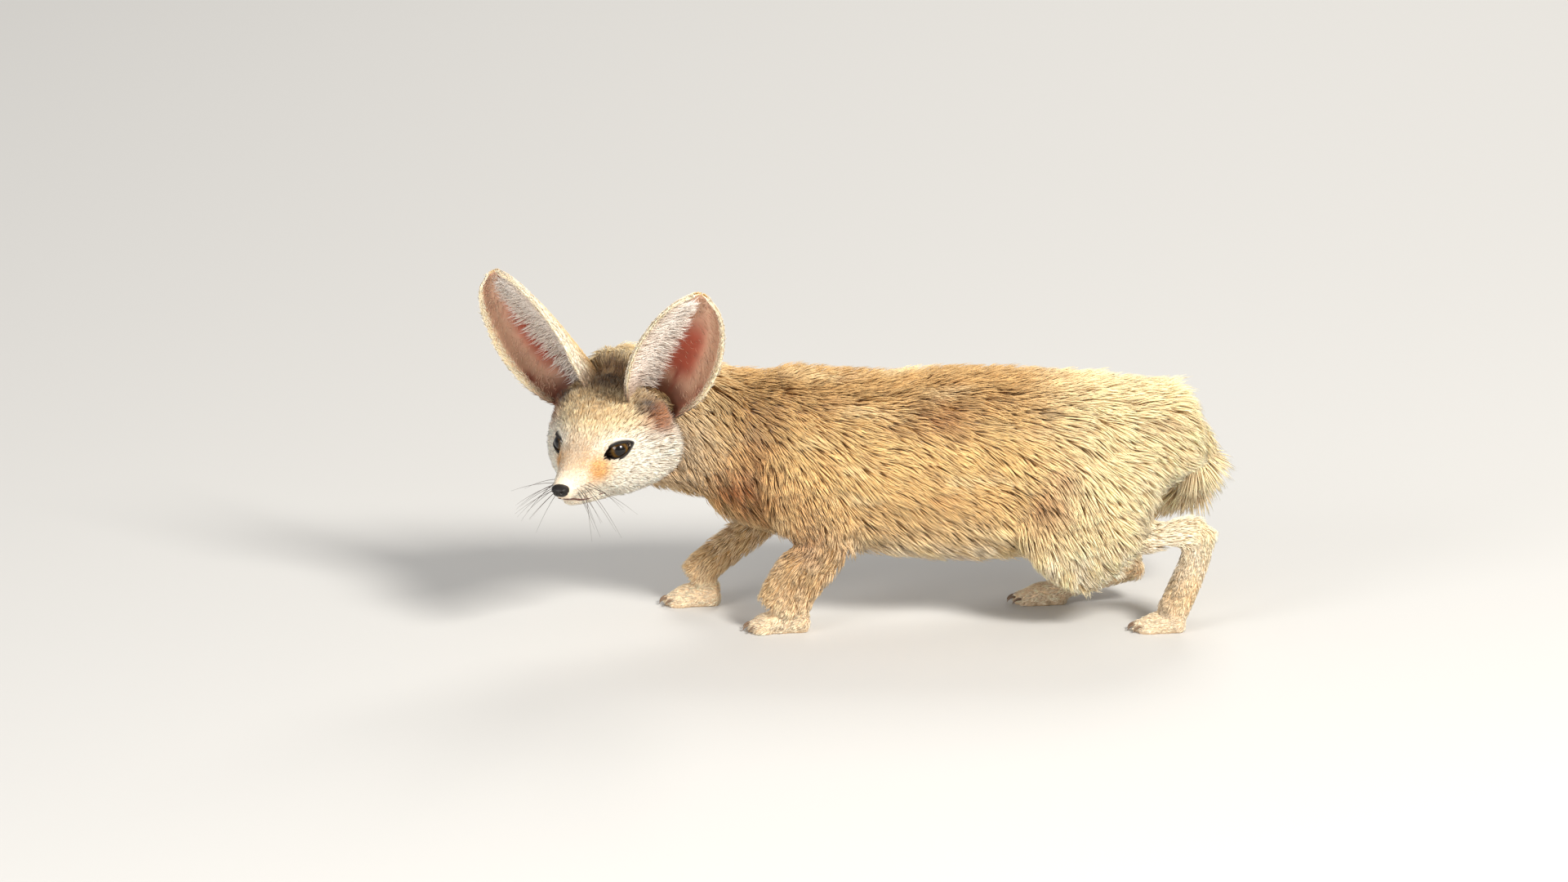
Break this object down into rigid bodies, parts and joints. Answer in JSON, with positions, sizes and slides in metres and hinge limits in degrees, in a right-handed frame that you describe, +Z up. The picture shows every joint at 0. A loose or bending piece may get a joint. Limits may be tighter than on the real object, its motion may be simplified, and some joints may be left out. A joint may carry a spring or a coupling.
{
  "type": "fennec fox",
  "caption": "Life-size fennec fox standing low on bent legs, head turned to its left, tall cupped ears raised and tail swept forward along its right side.",
  "frame": {"origin": "middle of the whole fox's outer box, on the floor under its soles", "axes": "+X towards the rump (the fox faces -X), +Y towards its right side, +Z up"},
  "size_m": [0.418, 0.197, 0.2106],
  "materials": {
    "buff_fur": "soft straw-coloured coat with darker tips",
    "pale_fur": "short cream coat",
    "dark_fur": "dark brown brush of the tail's end",
    "ear_skin": "thin skin with fine pale hair, pink inside",
    "eye": "wet amber-brown eye",
    "nose": "moist, finely pebbled black nose"
  },
  "bodies": {
    "root": {"ear_left": "ear_skin", "ear_right": "ear_skin", "eye_left": "eye", "eye_right": "eye", "forearm_left": "pale_fur", "forearm_right": "pale_fur", "forepaw_left": "pale_fur", "forepaw_right": "pale_fur", "head": "pale_fur", "hindpaw_left": "pale_fur", "hindpaw_right": "pale_fur", "hock_left": "pale_fur", "hock_right": "pale_fur", "jaw": "pale_fur", "neck": "buff_fur", "nose": "nose", "shank_left": "pale_fur", "shank_right": "pale_fur", "shoulder_left": "buff_fur", "shoulder_right": "buff_fur", "tail_base": "buff_fur", "tail_middle": "buff_fur", "tail_tip": "dark_fur", "thigh_left": "buff_fur", "thigh_right": "buff_fur", "torso": "buff_fur"}
  },
  "joints": []
}
